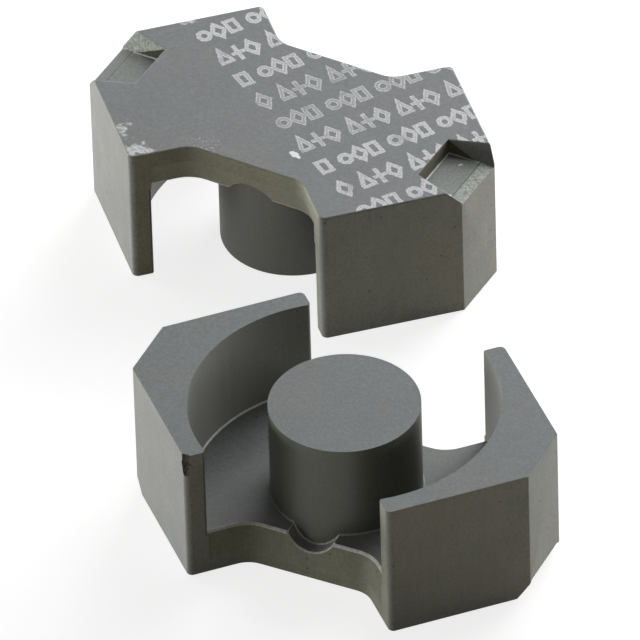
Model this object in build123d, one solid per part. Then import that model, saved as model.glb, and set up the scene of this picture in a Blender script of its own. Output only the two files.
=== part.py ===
from build123d import *
import math
import os

# A rectangular module (RM) ferrite core, a set of two equal halves.
# Each half is one solid, pressed in a die and sintered: a thin waisted plate, a round
# centre post and two outer walls that follow the winding. The plate carries a shallow
# groove on each open side and, on its back, one recess on each wing for the spring clamp.
# The front half lies on its back with the post up. The rear half stands on its wall ends,
# back up, so that the pair shows both faces.
#
# Frame of a half: Z along the post from the back (z = 0) to the mating face,
# X along the long diagonal through the two wings, Y across the two open sides.
# All sizes are in millimetres.

# Outline of a half, seen along the post
width_over_sides = 34.35        # between opposite side faces, at 45 degrees to X and Y
length_over_chamfers = 41.75    # along X, between the two chamfer faces
waist_width = 18.55             # along Y, the plate between its open sides, at the back
wing_mouth = 18.2               # along X, clear between the wing ends at the winding space
waist_corner_radius = 2.75      # where a wing end turns into the waist, at the back
wing_end_radius = 0.6           # outer upright edge of each wing end
wing_inner_radius = 0.3         # inner upright edge of each wing end, above the plate
chamfer_edge_radius = 0.2       # upright edges between chamfer and side faces

# Heights
half_height = 15.0              # back to mating face
plate_thickness = 4.45          # back to the floor of the winding space
post_gap = 0.2                  # the post is ground this much below the mating face
back_edge_bevel = 0.12          # broken edge round the rim of the back

# Winding space
winding_diameter = 30.3         # inner face of the outer walls
post_diameter = 14.8
foot_bevel = 0.15               # at the foot of the post and of the walls

# Open sides of the plate: an upright land at the back, then a face that leans inwards
land_height = 1.75
lean_in = 0.75                  # how far the face leans in from the land to the floor
rim_bevel = 0.2                 # broken edge between the leaning face and the floor

# Groove from the post to each open side, for the winding's start
groove_width = 4.8              # at the floor
groove_depth = 1.45

# Recess for the spring clamp, one on each wing, cut into the back
recess_spacing = 31.7           # along X, between the inner walls of the two recesses
recess_width = 6.2              # along Y, at the back face
recess_depth = 1.5
recess_draft = 0.2              # each upright wall leans by this much over its depth
recess_floor_length = 3.7       # along X, from the inner wall to the ramp
ramp_slope = 14.0               # degrees, fall of the ramp towards the chamfer face
flare_angle = 18.5              # degrees, how the recess opens out towards the chamfer
flare_lean = 40.0               # degrees from upright, lean of the flared faces

# Broken corner of the front half: left wing, near end, just under the mating face
chip_width = 0.7
chip_height = 2.6
chip_offset = 0.3               # the scoops are centred this far outside the corner

# Layout of the set
rear_offset_x = -23.4           # post axis of the rear half from that of the front half
rear_offset_y = 38.7
rear_turn = -4.0                # degrees about Z

over = 1.0                      # how far a cutting solid runs past the face that it opens
same_place = 0.01               # two places this close are taken as one

# Worked-out points of the outline, as distances from the X and Y axes
side_reach = width_over_sides / math.sqrt(2)               # side faces lie on |x| + |y| = this
chamfer_x = length_over_chamfers / 2
chamfer_y = side_reach - chamfer_x
winding_radius = winding_diameter / 2
post_radius = post_diameter / 2
wing_inner_x = wing_mouth / 2
wing_inner_y = math.sqrt(winding_radius ** 2 - wing_inner_x ** 2)
end_line = wing_inner_y - wing_inner_x                 # wing ends lie on |y| - |x| = this
wing_outer_x = (side_reach - end_line) / 2
wing_outer_y = (side_reach + end_line) / 2
waist_y = waist_width / 2
waist_x = waist_y - end_line


def near_x(vertex, distance):
    """True for an outline's corner that lies this far from the Y axis, on either side."""
    return abs(abs(vertex.X) - distance) < same_place


def mouth_outline(side):
    """The open space beside the waist, between two wing ends; side is +1 or -1 along Y."""
    reach = side_reach
    corners = [
        (-waist_x, side * waist_y),
        (waist_x, side * waist_y),
        (waist_x + reach, side * (waist_y + reach)),
        (-waist_x - reach, side * (waist_y + reach)),
    ]
    outline = make_face(Polyline(*corners, close=True))
    waist_corners = [v for v in outline.vertices() if near_x(v, waist_x)]
    return fillet(waist_corners, waist_corner_radius)


def footprint():
    """Outline of the back: a square on its corner, with two corners cut off and two mouths."""
    corners = [
        (chamfer_x, -chamfer_y), (chamfer_x, chamfer_y), (0, side_reach),
        (-chamfer_x, chamfer_y), (-chamfer_x, -chamfer_y), (0, -side_reach),
    ]
    outline = make_face(Polyline(*corners, close=True))
    outline -= mouth_outline(1)
    outline -= mouth_outline(-1)
    wing_corners = [v for v in outline.vertices() if near_x(v, wing_outer_x)]
    outline = fillet(wing_corners, wing_end_radius)
    chamfer_corners = [v for v in outline.vertices() if near_x(v, chamfer_x)]
    return fillet(chamfer_corners, chamfer_edge_radius)


def winding_space():
    """The ring-shaped space round the post, bevelled at its two feet, as a revolved profile."""
    top = half_height + over
    section = make_face(Polyline(
        (post_radius, 0, plate_thickness), (winding_radius, 0, plate_thickness),
        (winding_radius, 0, top), (post_radius, 0, top), close=True))
    foot = [v for v in section.vertices() if abs(v.Z - plate_thickness) < same_place]
    section = chamfer(foot, foot_bevel)
    return revolve(section, Axis.Z)


def wing_edges():
    """What rounding the inner upright edge of each wing end takes away, above the plate."""
    walls = footprint() - Circle(winding_radius)
    inner_corners = [v for v in walls.vertices() if near_x(v, wing_inner_x)]
    corners = walls - fillet(inner_corners, wing_inner_radius)
    return Pos(0, 0, plate_thickness) * extrude(corners, half_height, dir=(0, 0, 1))


def leaning_face(side):
    """What is cut from the plate's edge between two wings, so that it leans in to the floor."""
    rim_base = plate_thickness - rim_bevel
    lean = math.degrees(math.atan2(lean_in, plate_thickness - land_height))
    land_outline = Pos(0, 0, land_height) * mouth_outline(side)
    lower = extrude(land_outline, rim_base - land_height, dir=(0, 0, 1), taper=-lean)
    rim_outline = lower.faces().sort_by(Axis.Z)[-1]
    rim = extrude(rim_outline, 2 * rim_bevel, dir=(0, 0, 1), taper=-45)
    return (lower + rim) & Cylinder(winding_radius, 2 * half_height)


def groove(side):
    """Round-bottomed groove along Y, from the post out over the plate's edge.

    The post's wall runs on down to the bottom of the groove and flares out a little there.
    """
    radius = (groove_depth ** 2 + (groove_width / 2) ** 2) / (2 * groove_depth)
    length = waist_y + over
    centre = Pos(0, side * length / 2, plate_thickness - groove_depth + radius)
    channel = centre * Rot(90, 0, 0) * Cylinder(radius, length)
    foot_height = groove_depth + foot_bevel
    foot_centre = Pos(0, 0, plate_thickness + foot_bevel - foot_height / 2)
    foot = foot_centre * Cone(post_radius + foot_bevel, post_radius, foot_height)
    return (channel & foot_centre * Cylinder(winding_radius, foot_height)) - foot


def clamp_recess():
    """Recess of the +X wing: a shallow pocket whose two sides flare out to the chamfer face."""
    inner_x = recess_spacing / 2
    outer_x = chamfer_x + over
    ramp_x = inner_x + recess_floor_length
    ramp_fall = math.tan(math.radians(ramp_slope))
    lowest = recess_depth + (outer_x - ramp_x) * ramp_fall
    half_width = recess_width / 2
    draft = recess_draft / recess_depth

    # Side view: drafted inner wall, floor and ramp
    side_view = make_face(Polyline(
        (inner_x - draft * over, 0, -over), (inner_x + recess_draft, 0, recess_depth),
        (ramp_x, 0, recess_depth), (outer_x, 0, lowest), (outer_x, 0, -over), close=True))
    depth_limit = extrude(side_view, half_width + outer_x, dir=(0, 1, 0), both=True)

    # End view: the two upright walls
    end_view = make_face(Polyline(
        (0, half_width + draft * over, -over), (0, half_width - draft * lowest, lowest),
        (0, -half_width + draft * lowest, lowest), (0, -half_width - draft * over, -over),
        close=True))
    pocket = extrude(end_view, outer_x, dir=(1, 0, 0))

    # Plan view at the top and the bottom of the flare, joined by its leaning faces
    def flare_plan(z):
        spread = math.tan(math.radians(flare_angle))
        shrink = z * math.tan(math.radians(flare_lean)) / math.cos(math.radians(flare_angle))
        inner_y = half_width - shrink
        outer_y = inner_y + (outer_x - inner_x) * spread
        back_y = inner_y - over * spread
        return make_face(Polyline(
            (inner_x - over, -back_y, z), (outer_x, -outer_y, z),
            (outer_x, outer_y, z), (inner_x - over, back_y, z), close=True))

    flare = loft([flare_plan(-over), flare_plan(lowest)])
    return depth_limit & (pocket + flare)


def core_half():
    """One half in its own frame, back at z = 0 and post along +Z."""
    half = extrude(footprint(), half_height, dir=(0, 0, 1))
    half = chamfer(half.faces().sort_by(Axis.Z)[0].edges(), back_edge_bevel)
    half -= winding_space()
    half -= wing_edges()
    half -= Pos(0, 0, half_height - post_gap) * extrude(
        Circle(post_radius + foot_bevel), post_gap + over)
    for side in (1, -1):
        half -= leaning_face(side)
        half -= groove(side)
    recess = clamp_recess()
    half -= recess
    half -= mirror(recess, Plane.YZ)
    return half


def chip():
    """A shell-shaped break down the outer corner of a wing end, as three overlapping scoops."""
    corner = Pos(-wing_outer_x, -wing_outer_y, half_height)
    scoops = Part()
    for drop, share in ((0.1, 0.85), (0.45, 1.0), (0.75, 0.8)):
        radius = share * (chip_width + chip_offset)
        scoops += corner * Pos(0, -chip_offset, -drop * chip_height) * Sphere(radius)
    return scoops


front_half = core_half() - chip()
rear_place = Pos(rear_offset_x, rear_offset_y, half_height) * Rot(0, 0, rear_turn) * Rot(180, 0, 0)
rear_half = rear_place * core_half()

os.makedirs("parts", exist_ok=True)
for node, solid in {"front_half": front_half, "rear_half": rear_half}.items():
    solid.label = node
    export_step(solid, f"parts/{node}.step")
    print(node, "volume", round(solid.volume, 1), "mm3, box", solid.bounding_box())
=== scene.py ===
# %% [markdown]
# # A rectangular module ferrite core
# The object is a set of two equal halves, pressed from ferrite powder in a die and then
# sintered hard. The front half lies on its back and shows its round post, the space for the
# winding and its two outer walls. The rear half stands on the ends of its walls and shows
# its printed back. This lesson dresses both halves for a product photograph.
# The construction model is loaded first. Every length is in metres, in the frame of that
# model, so nothing has to be fitted afterwards.

# %% Load the construction model
import bpy
import bmesh
import math
from mathutils import Euler, Matrix, Vector, noise


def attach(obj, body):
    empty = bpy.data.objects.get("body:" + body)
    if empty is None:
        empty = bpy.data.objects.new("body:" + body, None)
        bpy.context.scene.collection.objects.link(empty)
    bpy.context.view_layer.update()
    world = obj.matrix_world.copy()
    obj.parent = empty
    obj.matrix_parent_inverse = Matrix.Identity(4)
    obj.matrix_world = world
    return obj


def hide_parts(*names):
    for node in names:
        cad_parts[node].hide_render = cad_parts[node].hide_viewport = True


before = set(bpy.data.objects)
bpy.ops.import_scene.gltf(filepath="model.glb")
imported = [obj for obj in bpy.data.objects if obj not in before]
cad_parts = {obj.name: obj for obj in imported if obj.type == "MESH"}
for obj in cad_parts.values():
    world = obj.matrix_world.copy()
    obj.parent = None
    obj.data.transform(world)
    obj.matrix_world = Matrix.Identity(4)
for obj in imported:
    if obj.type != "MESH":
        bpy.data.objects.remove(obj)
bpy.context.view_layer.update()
mm = 0.001

# %% [markdown]
# ## The camera
# The photograph is a catalogue picture with hardly any perspective: far edges are almost as
# long as near ones. A short lens close by would make the near wing look much larger. A very
# long lens from far away gives the flat look, so that is the one used here. Its place was
# worked out from the corners of both halves, so that together they fall as near as one
# camera can bring them to their pixels in the photograph.

# %% Camera
photo_pixels = 640
focal_pixels = 15000
camera_place = Vector((479.61, -1002.34, 932.12)) * mm
camera_angles = (50.7646, 1.3746, 24.5565)
camera_data = bpy.data.cameras.new("catalogue_camera")
camera_data.sensor_width = 36
camera_data.lens = camera_data.sensor_width * focal_pixels / photo_pixels
camera_data.clip_start = 0.1
camera_data.clip_end = 20
camera = bpy.data.objects.new("catalogue_camera", camera_data)
camera.location = camera_place
camera.rotation_euler = Euler([math.radians(a) for a in camera_angles])
bpy.context.scene.collection.objects.link(camera)
bpy.context.scene.camera = camera
bpy.context.scene.view_settings.view_transform = "Standard"
print("camera stands", round(camera_place.length, 3), "m away, lens", round(camera_data.lens), "mm")

# %% [markdown]
# ## Where each half stands
# A half is easiest to describe in its own frame: back at z = 0, post pointing up, the long
# diagonal through the wings along X. The front half already stands like that. The rear half
# is turned over, turned by four degrees and moved back. One matrix for each half says so, and
# its inverse tells which part of a half any point belongs to.

# %% Places of the two halves
rear_shift = Matrix.Translation(Vector((-23.4, 38.7, 15.0)) * mm)
rear_turn = Matrix.Rotation(math.radians(-4.0), 4, "Z")
turned_over = Matrix.Rotation(math.pi, 4, "X")
own_frames = {
    "front_half": Matrix.Identity(4),
    "rear_half": rear_shift @ rear_turn @ turned_over,
}

# %% [markdown]
# ## Node helpers
# All finishes are made of shader nodes. A small helper adds a node and sets its sockets, so
# that a material reads like a list of steps. A value may be a number, a colour or the output
# of an earlier node.

# %% Helpers for nodes
def plug(tree, socket, value):
    """Link a socket to another node's output, or set its value."""
    if isinstance(value, bpy.types.NodeSocket):
        tree.links.new(value, socket)
    else:
        socket.default_value = value


def add_node(tree, kind, inputs=(), **settings):
    """Add a node, set its properties, and fill its inputs by name or number."""
    node = tree.nodes.new(kind)
    for name, value in settings.items():
        setattr(node, name, value)
    for key, value in dict(inputs).items():
        plug(tree, node.inputs[key], value)
    return node


def new_group(name, inputs, outputs):
    """An empty shader node group with named inputs and outputs."""
    group = bpy.data.node_groups.new(name, "ShaderNodeTree")
    for label, kind, value in inputs:
        socket = group.interface.new_socket(label, in_out="INPUT", socket_type=kind)
        if value is not None:
            socket.default_value = value
    for label in outputs:
        group.interface.new_socket(label, in_out="OUTPUT", socket_type="NodeSocketFloat")
    given = group.nodes.new("NodeGroupInput").outputs
    result = group.nodes.new("NodeGroupOutput").inputs
    return group, given, result


def place_group(tree, group, inputs):
    """Use a node group inside a material; the result is its outputs."""
    node = tree.nodes.new("ShaderNodeGroup")
    node.node_tree = group
    for key, value in inputs.items():
        plug(tree, node.inputs[key], value)
    return node.outputs


print("four helpers for nodes are ready")

# %% [markdown]
# Arithmetic comes up so often that each kind of sum gets a short name of its own. A fade is
# a smooth step from one number to another, and turns a distance or a noise into a mask.

# %% Helpers for sums
def calculate(tree, operation, *values):
    """One Math node; its result is a socket."""
    node = add_node(tree, "ShaderNodeMath", operation=operation)
    for socket, value in zip(node.inputs, values):
        plug(tree, socket, value)
    return node.outputs[0]


def add(tree, first, second):
    """The sum of two numbers."""
    return calculate(tree, "ADD", first, second)


def less(tree, first, second):
    """The first number less the second."""
    return calculate(tree, "SUBTRACT", first, second)


def times(tree, first, second):
    """The product of two numbers."""
    return calculate(tree, "MULTIPLY", first, second)


def calculate_vector(tree, operation, *values):
    """One Vector Math node; SCALE takes its factor as the second value."""
    node = add_node(tree, "ShaderNodeVectorMath", operation=operation)
    slots = (0, 3) if operation == "SCALE" else (0, 1)
    for slot, value in zip(slots, values):
        plug(tree, node.inputs[slot], value)
    return node.outputs["Value" if operation in ("DOT_PRODUCT", "LENGTH") else "Vector"]


def fade(tree, value, start, end, low=0.0, high=1.0):
    """Map a value smoothly from start..end to low..high."""
    node = add_node(tree, "ShaderNodeMapRange", {
        "Value": value, "From Min": start, "From Max": end, "To Min": low, "To Max": high},
        interpolation_type="SMOOTHSTEP")
    return node.outputs["Result"]


print("six helpers for sums are ready")

# %% [markdown]
# Patterns are written in millimetres, so the Object coordinates, which are metres, are scaled
# up first. Clouds are plain fractal noise. Shaking a place with noise makes whatever is drawn
# there come out uneven: a little for ink, a lot for a scuff. Colours are written as they look
# on the screen, from 0 to 255, because that is how they were read off the photograph.

# %% Helpers for patterns and colours
def in_millimetres(tree, place):
    """A place given in metres, scaled to millimetres."""
    return calculate_vector(tree, "SCALE", place, 1 / mm)


def clouds(tree, place, scale, detail, roughness=0.5, distortion=0.0):
    """Fractal noise with so many lumps in a millimetre; the result is its outputs."""
    return add_node(tree, "ShaderNodeTexNoise", {
        "Vector": place, "Scale": scale, "Detail": detail,
        "Roughness": roughness, "Distortion": distortion}).outputs


def shake(tree, place, scale, amount, detail):
    """Push a place about by noise, at most half the amount each way."""
    cloud = clouds(tree, place, scale, detail)["Color"]
    push = calculate_vector(tree, "SUBTRACT", cloud, (0.5, 0.5, 0.5))
    return calculate_vector(tree, "ADD", place, calculate_vector(tree, "SCALE", push, amount))


def blend_colour(tree, amount, first, second):
    """Mix two colours by an amount from 0 to 1."""
    node = add_node(tree, "ShaderNodeMix", {0: amount, 6: first, 7: second}, data_type="RGBA")
    return node.outputs[2]


def linear(*colour):
    """A colour as it is written for the screen, 0 to 255, as the linear colour of a shader."""
    shares = [c / 255 for c in colour]
    return (*[c / 12.92 if c <= 0.04045 else ((c + 0.055) / 1.055) ** 2.4 for c in shares], 1.0)


print("mid grey 124 is", round(linear(124, 124, 124)[0], 3), "for a shader")

# %% [markdown]
# ## What sintered ferrite looks like
# Close up, ferrite is a dense dark grey ceramic. Its skin has a very fine grain, slow patches
# where it is a little lighter or bluer, a few small pits where grains fell out, and bright
# flecks where a crystal face catches the light. Walls that slid along the die carry faint
# upright streaks. All of this goes into one node group, which every finish uses with its own
# strength. An image texture would need a picture; noise gives the grain at any distance.

# %% Node group: ceramic grain
grains_per_mm = 3.5
grain_group, given, result = new_group(
    "ceramic_grain",
    [("Vector", "NodeSocketVector", None), ("Pit Size", "NodeSocketFloat", 0.1),
     ("Fleck Amount", "NodeSocketFloat", 0.3)],
    ["Grain", "Patches", "Tint", "Streaks", "Pits", "Flecks"])
g = grain_group
in_mm = in_millimetres(g, given["Vector"])
upright = add_node(g, "ShaderNodeMapping", {"Vector": in_mm, "Scale": (2.2, 2.2, 0.09)}).outputs[0]
patterns = {
    "Grain": clouds(g, in_mm, grains_per_mm, 2.0, roughness=0.75),
    "Patches": clouds(g, in_mm, 0.3, 4.0, roughness=0.6),
    "Tint": clouds(g, in_mm, 0.12, 2.0, distortion=0.3),
    "Streaks": clouds(g, upright, 1.0, 4.0, roughness=0.7),
}
for label, pattern in patterns.items():
    g.links.new(pattern["Fac"], result[label])
print("made:", *patterns)

# %% [markdown]
# Pits and flecks are scattered by Voronoi cells: every cell gets a random number, and only
# some numbers grow into a pit or a fleck. The distance from the cell's centre gives its size.

# %% Node group: pits and flecks
def cells(tree, place, scale, channel):
    """Voronoi cells: each one's random number, and the distance from its centre."""
    outputs = add_node(tree, "ShaderNodeTexVoronoi", {"Vector": place, "Scale": scale}).outputs
    number = add_node(tree, "ShaderNodeSeparateColor", {0: outputs["Color"]}).outputs[channel]
    return number, outputs["Distance"]


pit_number, pit_distance = cells(g, in_mm, 0.9, 0)
pit_size = times(g, given["Pit Size"], fade(g, pit_number, 0.5, 1.0, 0.0, 0.9))
pit_depth = less(g, pit_size, pit_distance)
g.links.new(fade(g, pit_depth, -0.02, 0.03), result["Pits"])
fleck_number, fleck_distance = cells(g, in_mm, 2.6, 1)
fleck_here = calculate(g, "GREATER_THAN", given["Fleck Amount"], fleck_number)
g.links.new(times(g, fleck_here, fade(g, fleck_distance, 0.22, 0.1)), result["Flecks"])
print("ceramic_grain has", len(g.nodes), "nodes")

# %% [markdown]
# ## The printed back
# The maker prints rows of small marks across the back with a pale ink. A print that names a
# product has no place in a shared library, so this one uses plain shapes: rings, diamonds,
# triangles, squares and crosses, in rows with the real spacing, size and slant. Each shape is
# a small distance formula. A point where the distance is near zero lies on the outline, so
# the same few nodes draw every stroke with one width. The place is shaken a little first, as
# no stamped line is quite even.

# %% Node group: rows of printed shapes
row_direction = math.radians(54)
row_spacing = 4.03
first_row_at = 40.5
print_group, given, result = new_group(
    "row_print", [("Vector", "NodeSocketVector", None)], ["Ink"])
g = print_group
in_mm = in_millimetres(g, given["Vector"])
shaken = shake(g, in_mm, scale=2.6, amount=0.3, detail=3.0)
forward = (math.cos(row_direction), math.sin(row_direction), 0)
sideways = (-math.sin(row_direction), math.cos(row_direction), 0)
along_rows = calculate_vector(g, "DOT_PRODUCT", shaken, forward)
across_rows = calculate_vector(g, "DOT_PRODUCT", shaken, sideways)
row = calculate(g, "DIVIDE", less(g, across_rows, first_row_at), row_spacing)
row_number = calculate(g, "ROUND", row)
y = times(g, less(g, row, row_number), row_spacing)
odd = calculate(g, "FLOORED_MODULO", row_number, 2.0)
print("row direction", round(math.degrees(row_direction)), "degrees, spacing", row_spacing, "mm")

# %% [markdown]
# Along a row, the shapes come in threes with a wider gap after the third. Of every four rows,
# the second and third start a little later in that pattern, as the real rows do. In the end
# every point knows its shape's number, and how far it is from that shape's middle, sideways
# and along the height.

# %% Place along the row
mark_pitch = 1.6
group_pitch = 5.6
print_start = 15.3
half_mark = 0.8
of_four = calculate(g, "FLOORED_MODULO", row_number, 4.0)
late = calculate(g, "COMPARE", of_four, 1.5, 0.6)
run = less(g, along_rows, print_start)
shifted = add(g, run, times(g, late, group_pitch - mark_pitch - half_mark))
in_group = calculate(g, "FLOORED_MODULO", shifted, group_pitch)
mark = calculate(g, "FLOOR", calculate(g, "DIVIDE", in_group, mark_pitch))
mark = calculate(g, "MINIMUM", mark, 2.0)
x = less(g, less(g, in_group, times(g, mark, mark_pitch)), half_mark)
side = calculate(g, "ABSOLUTE", x)
rise = calculate(g, "ABSOLUTE", y)
print("marks every", mark_pitch, "mm, groups every", group_pitch, "mm")

# %% [markdown]
# Four of the shapes are closed, so their formulas are negative inside and positive outside,
# and the outline is where the size of the number is small. The cross is open: its formula is
# the distance from the nearer of its two bars. A slanted side's formula grows faster than the
# true distance, so the diamond and the triangle are scaled back, to keep one stroke width.

# %% The five shapes
def outline(tree, depth):
    """The distance from an outline, for a depth that is negative inside it."""
    return calculate(tree, "ABSOLUTE", depth)


def length_of(tree, first, second):
    """The length of a flat vector, from its two parts."""
    squares = [calculate(tree, "POWER", part, 2.0) for part in (first, second)]
    return calculate(tree, "SQRT", add(tree, *squares))


ring_radius, ring_flattened = 0.55, 0.85
diamond_width, diamond_flattened, diamond_scale = 0.66, 0.6, 0.85
square_width, square_taller = 0.5, 0.38
triangle_tip, triangle_foot, triangle_steepness, triangle_scale = 1.1, 0.85, 2.9, 0.33
cross_width, cross_flattened = 0.5, 0.6
ring = outline(g, less(g, length_of(g, x, times(g, y, ring_flattened)), ring_radius))
slanted = add(g, side, times(g, rise, diamond_flattened))
diamond = outline(g, times(g, less(g, slanted, diamond_width), diamond_scale))
boxed = calculate(g, "MAXIMUM", side, less(g, rise, square_taller))
square = outline(g, less(g, boxed, square_width))
slope = add(g, times(g, side, triangle_steepness), less(g, y, triangle_tip))
base = less(g, times(g, y, -1.0), triangle_foot)
triangle = outline(g, calculate(g, "MAXIMUM", times(g, slope, triangle_scale), base))
arm_end = calculate(g, "MAXIMUM", side, times(g, rise, cross_flattened))
arms = calculate(g, "MINIMUM", side, rise)
cross = calculate(g, "MAXIMUM", arms, less(g, arm_end, cross_width))
print("shapes: ring, diamond, square, triangle, cross")

# %% [markdown]
# Now each mark picks its shape. Even rows take ring, diamond, square; odd rows take triangle,
# cross, diamond. The stroke is a little brighter along its two edges, where wet ink is pushed
# aside by the stamp. The stamp pressed less hard on the middle rows, which are hollow, and
# slow noise fades parts of the print.

# %% Choose, stroke and fade
def choose(tree, amount, first, second):
    """first where amount is 0, second where it is 1."""
    node = add_node(tree, "ShaderNodeMix", {0: amount, 2: first, 3: second}, data_type="FLOAT")
    return node.outputs[0]


is_second = calculate(g, "COMPARE", mark, 1.0, 0.5)
is_third = calculate(g, "COMPARE", mark, 2.0, 0.4)
even_row = choose(g, is_third, choose(g, is_second, ring, diamond), square)
odd_row = choose(g, is_third, choose(g, is_second, triangle, cross), diamond)
away = choose(g, odd, even_row, odd_row)
stroke = fade(g, away, 0.28, 0.19)
edge_ink = times(g, fade(g, away, 0.08, 0.17), 0.5)
middle_rows = 0.5
from_middle_rows = calculate(g, "ABSOLUTE", less(g, row_number, middle_rows))
pressed_hard = fade(g, from_middle_rows, 0.5, 2.5, low=0.38, high=0.8)
mark_reach = 0.95
inside_mark = calculate(g, "LESS_THAN", side, mark_reach)
started = calculate(g, "GREATER_THAN", run, 0.0)
slow = clouds(g, in_mm, 0.35, 5.0, roughness=0.7)["Fac"]
faded = fade(g, slow, 0.34, 0.48, low=0.6)
fast = clouds(g, in_mm, 5.0, 2.0, roughness=0.7)["Fac"]
speckled = fade(g, fast, 0.36, 0.58, low=0.6)
ink = times(g, stroke, calculate(g, "MINIMUM", add(g, edge_ink, pressed_hard), 1.0))
for factor in (inside_mark, started, faded, speckled):
    ink = times(g, ink, factor)
g.links.new(ink, result["Ink"])
print("row_print has", len(g.nodes), "nodes")

# %% [markdown]
# The back also carries accidents: two scuffs where the wing was rubbed and a third on its
# far edge, a loose row of specks, one thick blob of ink, and a small pale speck in the right
# recess. A round patch with a soft rim is the start of each. Its place is torn or frayed by
# noise first, so that no patch looks round.

# %% Node group: patches on the back
scuff_group, given, result = new_group(
    "scuffs", [("Vector", "NodeSocketVector", None)], ["Scuff", "Blob"])
g = scuff_group
in_mm = in_millimetres(g, given["Vector"])
torn = shake(g, in_mm, scale=1.6, amount=1.0, detail=4.0)
frayed = shake(g, in_mm, scale=0.9, amount=4.5, detail=4.0)


def patch_at(place, centre, radius, softness, turn, squeeze):
    """1 inside a patch on the back, 0 outside; squeeze narrows it after it is turned."""
    offset = calculate_vector(g, "SUBTRACT", place, centre)
    turned = add_node(g, "ShaderNodeVectorRotate", {
        "Vector": offset, "Angle": math.radians(turn)}, rotation_type="Z_AXIS").outputs[0]
    squeezed = calculate_vector(g, "MULTIPLY", turned, (1.0, squeeze, 1.0))
    away = calculate_vector(g, "LENGTH", squeezed)
    return fade(g, away, radius + softness, radius - softness)


print("the outlines of the patches are torn and frayed")

# %% [markdown]
# A scuff is filled with streaky noise, like the marks of a coarse brush, and the specks with
# a finer one. Ink and the speck in the recess are solid, so they are kept apart from the
# scuffs and get a colour of their own. Places are in millimetres in the frame of the set,
# where the rear half's back is at 15 and its recess floor at 13.5.

# %% Scuffs, specks and blobs
brushed = add_node(g, "ShaderNodeMapping", {
    "Vector": in_mm, "Rotation": (0, 0, math.radians(-35)), "Scale": (1.2, 6.0, 1.0)}).outputs[0]
streaky = clouds(g, brushed, 1.5, 4.0, roughness=0.7, distortion=1.2)["Fac"]
bristles = fade(g, streaky, 0.40, 0.54)
wing_scuff = patch_at(frayed, (-37.6, 29.7, 15.0), 1.1, 0.3, turn=20, squeeze=1.3)
corner_scuff = patch_at(frayed, (-34.8, 27.3, 15.0), 1.3, 0.3, turn=-35, squeeze=1.4)
edge_scuff = patch_at(torn, (-38.7, 47.7, 15.0), 0.7, 0.3, turn=-40, squeeze=2.4)
scuffed = calculate(g, "MAXIMUM", calculate(g, "MAXIMUM", wing_scuff, corner_scuff), edge_scuff)
dots = fade(g, clouds(g, in_mm, 3.2, 3.0, roughness=0.7)["Fac"], 0.56, 0.66)
speck_row = patch_at(torn, (-28.6, 30.8, 15.0), 1.5, 0.9, turn=30, squeeze=1.4)
specks = times(g, speck_row, dots)
scuff = calculate(g, "MAXIMUM", times(g, scuffed, bristles), times(g, specks, 0.8))
g.links.new(scuff, result["Scuff"])
thick_ink = patch_at(torn, (-20.17, 32.62, 15.0), 0.68, 0.06, turn=30, squeeze=1.8)
recess_speck = patch_at(torn, (-5.35, 39.15, 13.5), 0.27, 0.05, turn=-60, squeeze=1.5)
g.links.new(calculate(g, "MAXIMUM", thick_ink, recess_speck), result["Blob"])
print("scuffs has", len(g.nodes), "nodes")

# %% [markdown]
# ## The finishes
# Every finish starts from one colour and the grain group. Patches, grain and streaks make it
# lighter or darker, pits and flecks are blended over it, and last come wear and painted light.
# They are one number that the mesh carries on each face: above zero the face is made pale, partly
# rubbed wear and partly a painted highlight, below zero it gets painted shade.

# %% Tone of the ceramic
pit_colour = linear(34, 33, 29)
fleck_colour = linear(186, 190, 190)
# Pale for rubbed edges that also carry a painted highlight, dark for painted shade.
rubbed_and_painted_highlight_colour = linear(234, 235, 231)
painted_shade_colour = linear(40, 39, 34)
cool_shift, warm_shift = (0.994, 1.0, 1.004), (1.004, 1.0, 0.994)


def skin_tone(tree, skin, colour, patches, grain, streaks):
    """The colour of the ceramic, with its tint, patches, grain and streaks."""
    cool = linear(*[c * k for c, k in zip(colour, cool_shift)])
    warm = linear(*[c * k for c, k in zip(colour, warm_shift)])
    tone = blend_colour(tree, fade(tree, skin["Tint"], 0.35, 0.65), cool, warm)
    light = add(tree, fade(tree, skin["Patches"], 0.25, 0.75, 1 - patches, 1 + patches),
                fade(tree, skin["Grain"], 0.2, 0.8, -grain, grain))
    if streaks:
        light = add(tree, light, fade(tree, skin["Streaks"], 0.3, 0.7, -streaks, streaks))
    return calculate_vector(tree, "SCALE", tone, light)


def add_wear_and_painted_light(tree, skin, tone):
    """Pale where the attribute is above zero (rubbed wear and painted highlight), painted shade
    below zero.
    """
    wear_and_painted_light = add_node(tree, "ShaderNodeAttribute", attribute_name="wear_and_painted_light").outputs["Fac"]
    uneven = fade(tree, skin["Grain"], 0.3, 0.6, 0.6, 1.0)
    # Above zero the face is made pale: rubbed wear together with a painted highlight.
    rubbed_and_painted_highlight = times(tree, calculate(tree, "MAXIMUM", wear_and_painted_light, 0.0), uneven)
    tone = blend_colour(tree, rubbed_and_painted_highlight, tone, rubbed_and_painted_highlight_colour)
    # Below zero the face is darkened with painted shade.
    painted_shade = calculate(tree, "MAXIMUM", times(tree, wear_and_painted_light, -1.0), 0.0)
    return blend_colour(tree, painted_shade, tone, painted_shade_colour)


print("the ceramic has a tone, and wear can be laid over it")

# %% [markdown]
# One function builds all finishes, so that they stay a family, and each call sets only what
# differs. Gloss is the strength of the mirror-like share of the light: a dark wall with more
# of it shows strong light and shade, as the sides of the post do in the photograph.

# %% Ferrite material
ink_colour = linear(228, 228, 231)
scuff_colour = linear(222, 223, 222)
blob_colour = linear(246, 246, 244)
bump_depth = 0.03 * mm


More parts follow.
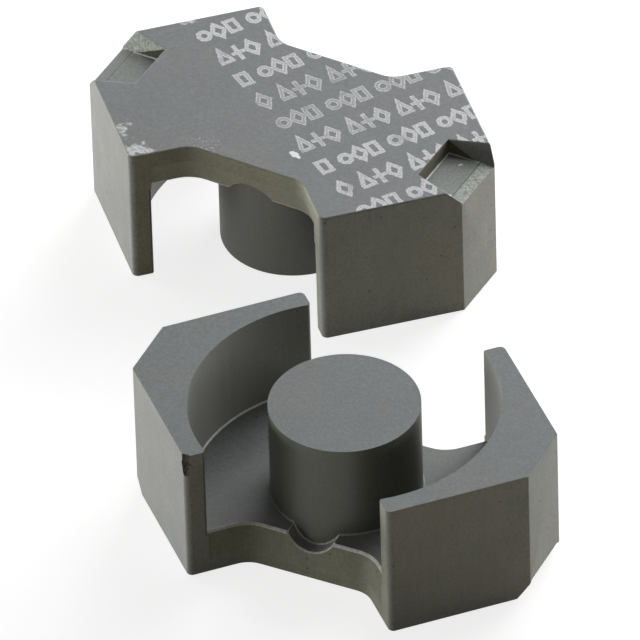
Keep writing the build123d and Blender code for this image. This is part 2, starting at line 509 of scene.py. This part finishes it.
def ferrite(name, colour, roughness, grain=0.10, patches=0.04, streaks=0.0, pit_size=0.1,
            pit_tone=0.6, flecks=0.3, fleck_tone=0.3, relief=0.2, gloss=0.25,
            printed=False, specked=False):
    """A ferrite finish; colour is written as it looks on the screen."""
    material = bpy.data.materials.new(name)
    material.use_nodes = True
    tree = material.node_tree
    shader = tree.nodes["Principled BSDF"]
    place = add_node(tree, "ShaderNodeTexCoord").outputs["Object"]
    skin = place_group(tree, grain_group, {
        "Vector": place, "Pit Size": pit_size, "Fleck Amount": flecks})
    tone = skin_tone(tree, skin, colour, patches, grain, streaks)
    tone = blend_colour(tree, times(tree, skin["Pits"], pit_tone), tone, pit_colour)
    tone = blend_colour(tree, times(tree, skin["Flecks"], fleck_tone), tone, fleck_colour)
    tone = add_wear_and_painted_light(tree, skin, tone)
    rough = add(tree, roughness, fade(tree, skin["Grain"], 0.2, 0.8, -0.06, 0.06))
    if printed or specked:
        marks = place_group(tree, scuff_group, {"Vector": place})
    if printed:
        ink = place_group(tree, print_group, {"Vector": place})["Ink"]
        tone = blend_colour(tree, ink, tone, ink_colour)
        tone = blend_colour(tree, times(tree, marks["Scuff"], 0.95), tone, scuff_colour)
        rough = add(tree, rough, times(tree, ink, 0.2))
    if printed or specked:
        tone = blend_colour(tree, marks["Blob"], tone, blob_colour)
    height = less(tree, skin["Grain"], skin["Pits"])
    bumped = add_node(tree, "ShaderNodeBump", {
        "Strength": relief, "Distance": bump_depth, "Height": height})
    tree.links.new(tone, shader.inputs["Base Color"])
    tree.links.new(rough, shader.inputs["Roughness"])
    tree.links.new(bumped.outputs["Normal"], shader.inputs["Normal"])
    shader.inputs["Specular IOR Level"].default_value = gloss
    return material


print("one function makes every ferrite finish")

# %% [markdown]
# The pressed skin covers most faces that touched the die. The mating faces and the post's end
# are ground, so they are a little smoother and show bright flecks. The back is smooth too and
# carries the print. The broken corner is raw: darker, rougher and full of pits.
# The other finishes are a compromise. A real core has one skin all over, but plain lamps
# don't give the light and shade of the photograph, so a part of it is put into the colours:
# the post's side and the inner faces of the outer walls are darker and glossier, the floor
# between them is a little darker, the plate's edge is warmer, and the recesses have pale
# floors, coarse ramps and dark upright walls. Under other lamps these would be set again.

# %% Eleven finishes
pressed_skin = ferrite("pressed_skin", (130, 132, 130), 0.55, grain=0.18, patches=0.06,
                       streaks=0.035, pit_size=0.17, pit_tone=0.5, flecks=0.06)
ground_face = ferrite("ground_face", (119, 123, 123), 0.5, grain=0.21, pit_size=0.08,
                      flecks=0.15)
printed_back = ferrite("printed_back", (123, 126, 127), 0.5, grain=0.16, pit_size=0.06,
                       flecks=0.04, printed=True)
broken_corner = ferrite("broken_corner", (78, 77, 67), 0.85, grain=0.8, patches=0.3,
                        pit_size=0.6, pit_tone=0.9, flecks=0.5, fleck_tone=0.6, relief=1.0)
post_wall = ferrite("post_wall", (86, 87, 80), 0.5, grain=0.2, streaks=0.06, flecks=0.1,
                    fleck_tone=0.2, gloss=0.55)
outer_wall = ferrite("outer_wall", (90, 91, 86), 0.5, grain=0.17, streaks=0.05,
                     pit_size=0.15, flecks=0.06, gloss=0.7)
winding_floor = ferrite("winding_floor", (116, 119, 118), 0.55, grain=0.18, patches=0.06,
                        pit_size=0.15, flecks=0.06, gloss=0.35)
plate_edge = ferrite("plate_edge", (134, 134, 119), 0.55, grain=0.18, patches=0.1,
                     streaks=0.05, pit_size=0.15, pit_tone=0.5, flecks=0.06)
recess_floor = ferrite("recess_floor", (140, 144, 141), 0.6, grain=0.2, patches=0.06,
                       pit_size=0.15, specked=True)
recess_ramp = ferrite("recess_ramp", (158, 165, 158), 0.65, grain=0.55, patches=0.1,
                      pit_size=0.15, fleck_tone=0.25)
recess_wall = ferrite("recess_wall", (84, 82, 70), 0.6, grain=0.2, patches=0.1)
finishes = [pressed_skin, ground_face, printed_back, broken_corner, post_wall, outer_wall,
            winding_floor, plate_edge, recess_floor, recess_ramp, recess_wall]
print("finishes:", [m.name for m in finishes])

# %% [markdown]
# ## The two halves
# The construction model gives each half as loose triangles. Merging the doubled points and
# dissolving the flat edges gives clean faces again. Real pressed edges are never quite sharp,
# so each convex edge gets a very fine bevel with the bevel operator. Modelling the halves
# again from nothing would only repeat the construction model, with a risk of small errors.

# %% Clean copy with fine bevels
def clean_copy(node):
    """A merged copy of a construction node, with its flat faces whole and no wear or painted light
    yet.
    """
    shape = bmesh.new()
    shape.from_mesh(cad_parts[node].data)
    bmesh.ops.remove_doubles(shape, verts=shape.verts, dist=1e-7)
    bmesh.ops.dissolve_limit(shape, angle_limit=math.radians(0.5),
                             verts=shape.verts, edges=shape.edges)
    shape.faces.layers.float.new("wear_and_painted_light")
    print(node, "has", len(shape.faces), "clean faces")
    return shape


def bevel_edges(shape, edges, width, wear_and_painted_light=0.0):
    """Bevel some edges; the wear value makes the new faces pale (rubbed wear and painted highlight)
    or, below zero, gives them painted shade.
    """
    made = bmesh.ops.bevel(shape, geom=edges, offset=width, offset_type="OFFSET",
                           affect="EDGES", segments=1, profile=0.5, material=-1,
                           clamp_overlap=False)
    layer = shape.faces.layers.float["wear_and_painted_light"]
    for face in made["faces"]:
        face[layer] = wear_and_painted_light
    print("bevelled", len(edges), "edges by", round(width / mm, 3), "mm")


shapes = {node: clean_copy(node) for node in own_frames}

# %% [markdown]
# Some edges are broken wider than others. Where the groove opens in the plate's edge, the rim
# is made pale as the straight rim is, partly rubbed wear and partly a painted highlight. At the
# bottom of the groove and round the recess floor, the die left a small fillet, which gets a
# pale painted highlight, and the crease where the recess floor turns into its ramp gets a dark
# line of painted shade. The helper below finds creases by place, in the half's own frame.

# %% Worn and filleted creases
def creases(node, shape, wanted, least=28):
    """Edges that turn by more than so many degrees and whose middle and kind pass a test."""
    to_own = own_frames[node].inverted()
    found = []
    for edge in shape.edges:
        if edge.calc_face_angle(0) > math.radians(least):
            middle = to_own @ ((edge.verts[0].co + edge.verts[1].co) / 2) / mm
            if wanted(middle, edge.is_convex):
                found.append(edge)
    return found


def groove_lip(p, convex):
    """Where the groove opens in the plate's edge."""
    return convex and abs(p.x) < 2.45 and 8.3 < abs(p.y) < 9.0 and 2.9 < p.z < 4.46


def groove_foot(p, convex):
    """Where the post's wall meets the bottom of the groove."""
    return not convex and abs(p.x) < 2.42 and abs(p.y) < 7.7 and 2.9 < p.z < 4.5


def ramp_line(p, convex):
    """Where the recess floor turns into its ramp; the crease is a shallow one."""
    return abs(abs(p.x) - 19.55) < 0.03 and abs(p.z - 1.5) < 0.03 and abs(p.y) < 2.8


def recess_foot(p, convex):
    """Where the recess's walls meet its floor."""
    return not convex and 15.9 < abs(p.x) < 19.5 and 1.4 < p.z < 2.4


for node, shape in shapes.items():
    # The groove's lip is partly rubbed wear and partly painted highlight; the fillets get a painted
    # highlight and the ramp's crease painted shade.
    bevel_edges(shape, creases(node, shape, groove_lip), 0.14 * mm, wear_and_painted_light=0.8)
    bevel_edges(shape, creases(node, shape, groove_foot), 0.12 * mm, wear_and_painted_light=0.5)
    bevel_edges(shape, creases(node, shape, ramp_line, least=10), 0.07 * mm, wear_and_painted_light=-0.6)
    bevel_edges(shape, creases(node, shape, recess_foot), 0.1 * mm, wear_and_painted_light=0.9)

# %% [markdown]
# Every other convex edge gets a bevel of a few hundredths of a millimetre, just enough to
# catch the light. The edges of the ground faces stay sharp, as grinding leaves them, and so
# do the edges of the raw break.

# %% Broken edges
ground_level = 14.7
chip_corner = Vector((-10.64, -13.65, 15.0)) * mm
chip_reach = 3.2 * mm


def near_chip(point):
    """True close to the broken corner of the front half."""
    return (point - chip_corner).length < chip_reach


def pressed_edge(p, convex):
    """Every convex edge below the ground faces."""
    return convex and p.z < ground_level


for node, shape in shapes.items():
    layer = shape.faces.layers.float["wear_and_painted_light"]
    edges = [e for e in creases(node, shape, pressed_edge)
             if not near_chip(e.verts[0].co) and all(f[layer] == 0 for f in e.link_faces)]
    bevel_edges(shape, edges, 0.04 * mm)

# %% [markdown]
# ## Which face gets which finish
# In its own frame, a half's faces can be told apart by where they lie and where they point.
# Ground faces are the two flat mating faces and the post's end. The ramp of the right recess
# is coarse and pale, and so are the flared sides of the left one, whose own ramp is darker:
# that too is the photograph's light, as both recesses are really alike. Faces that no rule
# names keep the pressed skin.

# %% Rules for the finishes
back_height = 0.02
plate_top = (4.3, 4.6)
post_radius = (7.2, 7.6)
winding_radius = (14.7, 15.3)
recess_reach, recess_height = (15.7, 20.8), 2.0
ramp_start = 19.6
edge_width, edge_reach = 9.0, (8.0, 13.0)


def within(value, span):
    """True for a number between the two ends of a span."""
    return span[0] < value < span[1]


def recess_finish(centre, facing):
    """The finish of a recess's floor, ramp, walls or flared sides, or None."""
    on_right = centre.x > 0
    if facing.z < -0.9:
        if abs(centre.x) < ramp_start:
            return recess_floor
        return recess_ramp if on_right else winding_floor
    if abs(facing.z) < 0.3 and abs(centre.y) < 3.2:
        return recess_wall
    return recess_ramp if within(-facing.z, (0.3, 0.8)) and not on_right else None


def finish_of(centre, facing):
    """The finish of a face, from its centre in millimetres and the way it points."""
    radius = math.hypot(centre.x, centre.y)
    is_upright = abs(facing.z) < 0.2
    if facing.z > 0.99 and centre.z > ground_level:
        return ground_face
    if facing.z < -0.99 and centre.z < back_height:
        return printed_back
    if is_upright and within(radius, post_radius):
        return post_wall
    if is_upright and within(radius, winding_radius) and facing.xy.dot(centre.xy) < 0:
        return outer_wall
    if facing.z > 0.99 and within(centre.z, plate_top):
        return winding_floor
    if within(abs(centre.x), recess_reach) and centre.z < recess_height:
        return recess_finish(centre, facing) or pressed_skin
    in_edge = abs(centre.x) < edge_width and within(abs(centre.y), edge_reach)
    return plate_edge if in_edge and facing.y * centre.y > 0.3 else pressed_skin


print("rules for", len(finishes), "finishes are ready")

# %% [markdown]
# The narrow bevels round the rim of the plate are made pale, partly rubbed wear and partly a
# painted highlight; the fillets at the foot of the walls and of the post get a pale painted
# highlight, and the inner upright edges of the left wing's ends get painted shade. Bevels that
# no rule names keep the value they were given when they were cut.

# %% Sort the faces
rim_height = (4.2, 4.65)
groove_half_width = 2.4
# Painted highlight at the feet of the walls and of the post, rubbed wear with a painted highlight
# on the rim, painted shade at the wing ends.
painted_highlight_at_walls, rub_and_painted_highlight_at_rim, painted_highlight_at_post, painted_shade_at_ends = 0.35, 1.0, 0.15, -0.7


def wear_and_painted_light_of(centre, facing):
    """How pale a rim face (rubbed wear and painted highlight) or a fillet face (painted highlight)
    is, or how dark with painted shade a wing's end is, or None for any other.
    """
    radius = math.hypot(centre.x, centre.y)
    slanted = within(facing.z, (0.3, 0.95)) and within(centre.z, rim_height)
    if slanted and abs(centre.x) > groove_half_width:
        return painted_highlight_at_walls if radius > 14.9 else rub_and_painted_highlight_at_rim if radius > 7.7 else painted_highlight_at_post
    # The inner upright edge of the left wing's end gets painted shade.
    at_left_end = within(centre.x, (-9.5, -9.0)) and within(abs(centre.y), (11.7, 12.6))
    faces_inwards = abs(facing.z) < 0.1 and facing.x > 0.8
    return painted_shade_at_ends if at_left_end and faces_inwards and centre.z > plate_top[1] else None


for node, shape in shapes.items():
    to_own = own_frames[node].inverted()
    layer = shape.faces.layers.float["wear_and_painted_light"]
    for face in shape.faces:
        centre = to_own @ face.calc_center_median() / mm
        facing = to_own.to_3x3() @ face.normal
        face.material_index = finishes.index(finish_of(centre, facing))
        wear_and_painted_light = wear_and_painted_light_of(centre, facing)
        if wear_and_painted_light is not None:
            face[layer] = wear_and_painted_light
    for index, finish in enumerate(finishes):
        count = sum(f.material_index == index for f in shape.faces)
        print(node, "has", count, "faces of", finish.name)

# %% [markdown]
# ## The broken corner
# A corner of the front half was knocked off. The construction model has the hollow as three
# smooth scoops, one above the other: each has its place as a share of the hollow's height,
# and its radius in millimetres. A real break is rough, so its faces are subdivided and every
# new point is pushed a little in or out by noise that is the same on each run.

# %% Find the break and subdivide it
chip_height = 2.6
scoops = ((0.1, 0.85), (0.45, 1.0), (0.75, 0.8))
touching = 0.012 * mm


def on_scoop(point):
    """True where a point lies on one of the hollow's three spheres."""
    for drop, radius in scoops:
        centre = chip_corner + Vector((0, -0.3, -drop * chip_height)) * mm
        if abs((point - centre).length - radius * mm) < touching:
            return True
    return False


def in_hollow(face):
    """True for a face of the break: its corners, or at least its middle, lie on a scoop."""
    middle = face.calc_center_median()
    return all(on_scoop(v.co) for v in face.verts) or (near_chip(middle) and on_scoop(middle))


shape = shapes["front_half"]
hollow = [f for f in shape.faces if all(on_scoop(v.co) for v in f.verts)]
print("faces of the break:", len(hollow))
hollow = bmesh.ops.triangulate(shape, faces=hollow)["faces"]
hollow_edges = list(dict.fromkeys(e for f in hollow for e in f.edges))
bmesh.ops.subdivide_edges(shape, edges=hollow_edges, cuts=2, use_grid_fill=True)
hollow = {f for f in shape.faces if in_hollow(f)}
print("after subdividing:", len(hollow))

# %% [markdown]
# Only points with the break on all sides are moved, so its rim stays where the construction
# model has it. A coarse noise makes the lumps and a finer one the grain on them.

# %% Roughen the break
for face in hollow:
    face.material_index = finishes.index(broken_corner)
hollow_points = {v for f in hollow for v in f.verts}
inner = [v for v in hollow_points if all(f in hollow for f in v.link_faces)]
shape.normal_update()
lump_size, grain_size, grain_share, roughness_height = 0.35 * mm, 0.14 * mm, 0.6, 0.07
for vertex in inner:
    lumps = noise.noise(vertex.co / lump_size)
    grains = noise.noise(vertex.co / grain_size)
    vertex.co += vertex.normal * (lumps + grain_share * grains) * roughness_height * mm
print("roughened", len(inner), "points in", len(hollow), "faces")

# %% [markdown]
# ## Finished meshes
# Smooth shading rounds the facets of the post and the walls, and edges that turn by more than
# twelve degrees stay crisp, such as the crease where the plate's edge begins to lean.

# %% Make the two pieces
def finish_piece(node, shape, name):
    """Turn a bmesh into an object that stands for its construction node."""
    for face in shape.faces:
        face.smooth = True
    mesh = bpy.data.meshes.new(name)
    shape.to_mesh(mesh)
    shape.free()
    for leftover in ("custom_normal", "sharp_edge", "sharp_face"):
        if leftover in mesh.attributes:
            mesh.attributes.remove(mesh.attributes[leftover])
    mesh.set_sharp_from_angle(angle=math.radians(12))
    piece = bpy.data.objects.new(name, mesh)
    bpy.context.scene.collection.objects.link(piece)
    for finish in finishes:
        mesh.materials.append(finish)
    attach(piece, "root")
    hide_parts(node)
    print(name, "has", len(mesh.polygons), "faces")


finish_piece("front_half", shapes["front_half"], "front_core_half")
finish_piece("rear_half", shapes["rear_half"], "rear_core_half")

# %% [markdown]
# ## Floor and world
# A catalogue picture has a white ground. A floor that is lit until it looks white would throw
# far too much light on a dark object, so the camera, and any reflection, sees a floor with a
# glow of its own, while the light that bounces off the floor comes from a plain pale card.
# The glow is added to a surface that still takes light, so the object's shadow stays.

# %% Pale floor
def seen_directly(tree):
    """1 for camera, glossy and transmission rays, 0 for bounced light."""
    path = add_node(tree, "ShaderNodeLightPath").outputs
    through = calculate(tree, "MAXIMUM", path["Is Glossy Ray"], path["Is Transmission Ray"])
    return calculate(tree, "MAXIMUM", path["Is Camera Ray"], through)


just_below = Matrix.Translation((0, 0, -0.02 * mm))
floor_shape = bmesh.new()
bmesh.ops.create_circle(floor_shape, cap_ends=True, segments=96, radius=1.5, matrix=just_below)
floor_mesh = bpy.data.meshes.new("pale_floor")
floor_shape.to_mesh(floor_mesh)
floor_shape.free()
floor = bpy.data.objects.new("pale_floor", floor_mesh)
bpy.context.scene.collection.objects.link(floor)
floor_card = bpy.data.materials.new("pale_floor")
floor_card.use_nodes = True
floor_mesh.materials.append(floor_card)
print("floor reaches", round(max(floor.dimensions) / 2, 2), "m from the object")

# %% [markdown]
# The card is slightly warm, which gives the undersides and the front faces the warm, dark
# tone they have in the photograph. A Mix Shader then shows the card to bounced light and the
# bright floor to everything else.

# %% Floor material
card_colour = (0.70, 0.61, 0.40, 1)
tree = floor_card.node_tree
card = tree.nodes["Principled BSDF"]
card.inputs["Roughness"].default_value = 1.0
card.inputs["Specular IOR Level"].default_value = 0.0
card.inputs["Base Color"].default_value = card_colour
takes_shadow = add_node(tree, "ShaderNodeBsdfDiffuse", {"Color": (0.4, 0.4, 0.4, 1)}).outputs[0]
glow = add_node(tree, "ShaderNodeEmission", {"Color": (1, 1, 1, 1), "Strength": 0.8}).outputs[0]
bright = add_node(tree, "ShaderNodeAddShader", {0: takes_shadow, 1: glow}).outputs[0]
floor_mix = add_node(tree, "ShaderNodeMixShader", {
    0: seen_directly(tree), 1: card.outputs[0], 2: bright})
tree.links.new(floor_mix.outputs[0], tree.nodes["Material Output"].inputs["Surface"])
print("floor card colour", card_colour[:3])

# %% [markdown]
# The world is split in the same way. The camera sees plain white round the floor, while the
# object gets only a trace of warm light from it, so that the lamps set the light and shade.

# %% World
ambient_strength = 0.02
world = bpy.data.worlds.new("studio")
bpy.context.scene.world = world
world.use_nodes = True
tree = world.node_tree
ambient = tree.nodes["Background"]
ambient.inputs["Color"].default_value = (1.0, 0.93, 0.8, 1)
ambient.inputs["Strength"].default_value = ambient_strength
white = add_node(tree, "ShaderNodeBackground", {"Color": (1, 1, 1, 1), "Strength": 1.0})
world_mix = add_node(tree, "ShaderNodeMixShader", {
    0: seen_directly(tree), 1: ambient.outputs[0], 2: white.outputs[0]})
tree.links.new(world_mix.outputs[0], tree.nodes["World Output"].inputs["Surface"])
print("ambient light", ambient_strength)

# %% [markdown]
# ## Lamps
# In the photograph the left-hand faces are pale, the tops are mid grey and the faces towards
# the viewer are dark and slightly warm. So flat boxes stand very low, two on the left and a
# weaker one on the right, where they hardly touch the tops. Two more behind the object, one
# low and one high, light the tops and the floors of the recesses, and only bounced light
# reaches the front. The brightness of a box is the share of plain light it gives a surface
# turned to it: at 1 in all, a colour shows as it is written.

# %% Soft boxes
lamp_target = Vector((-8, 18, 6)) * mm
lamp_distance = 0.5


def softbox(name, azimuth, elevation, brightness, width=0.3, height=0.3):
    """A soft light half a metre away; azimuth 0 is in front, 90 to the right."""
    a, e = math.radians(azimuth), math.radians(elevation)
    direction = Vector((math.sin(a) * math.cos(e), -math.cos(a) * math.cos(e), math.sin(e)))
    lamp_data = bpy.data.lights.new(name, "AREA")
    lamp_data.shape = "RECTANGLE"
    lamp_data.size = width
    lamp_data.size_y = height
    lamp_data.energy = brightness * math.pi ** 2 * lamp_distance ** 2
    lamp = bpy.data.objects.new(name, lamp_data)
    lamp.location = lamp_target + direction * lamp_distance
    lamp.rotation_euler = direction.to_track_quat("Z", "Y").to_euler()
    bpy.context.scene.collection.objects.link(lamp)
    print(name, "gives", brightness)


softbox("left_softbox", -98, 5, 1.04, height=0.08)
softbox("left_front_softbox", -54, 5, 0.35, height=0.08)
softbox("back_softbox", 170, 20, 1.1, width=0.4)
softbox("high_back_softbox", 180, 45, 0.4)
softbox("right_softbox", 132, 5, 0.48, height=0.08)
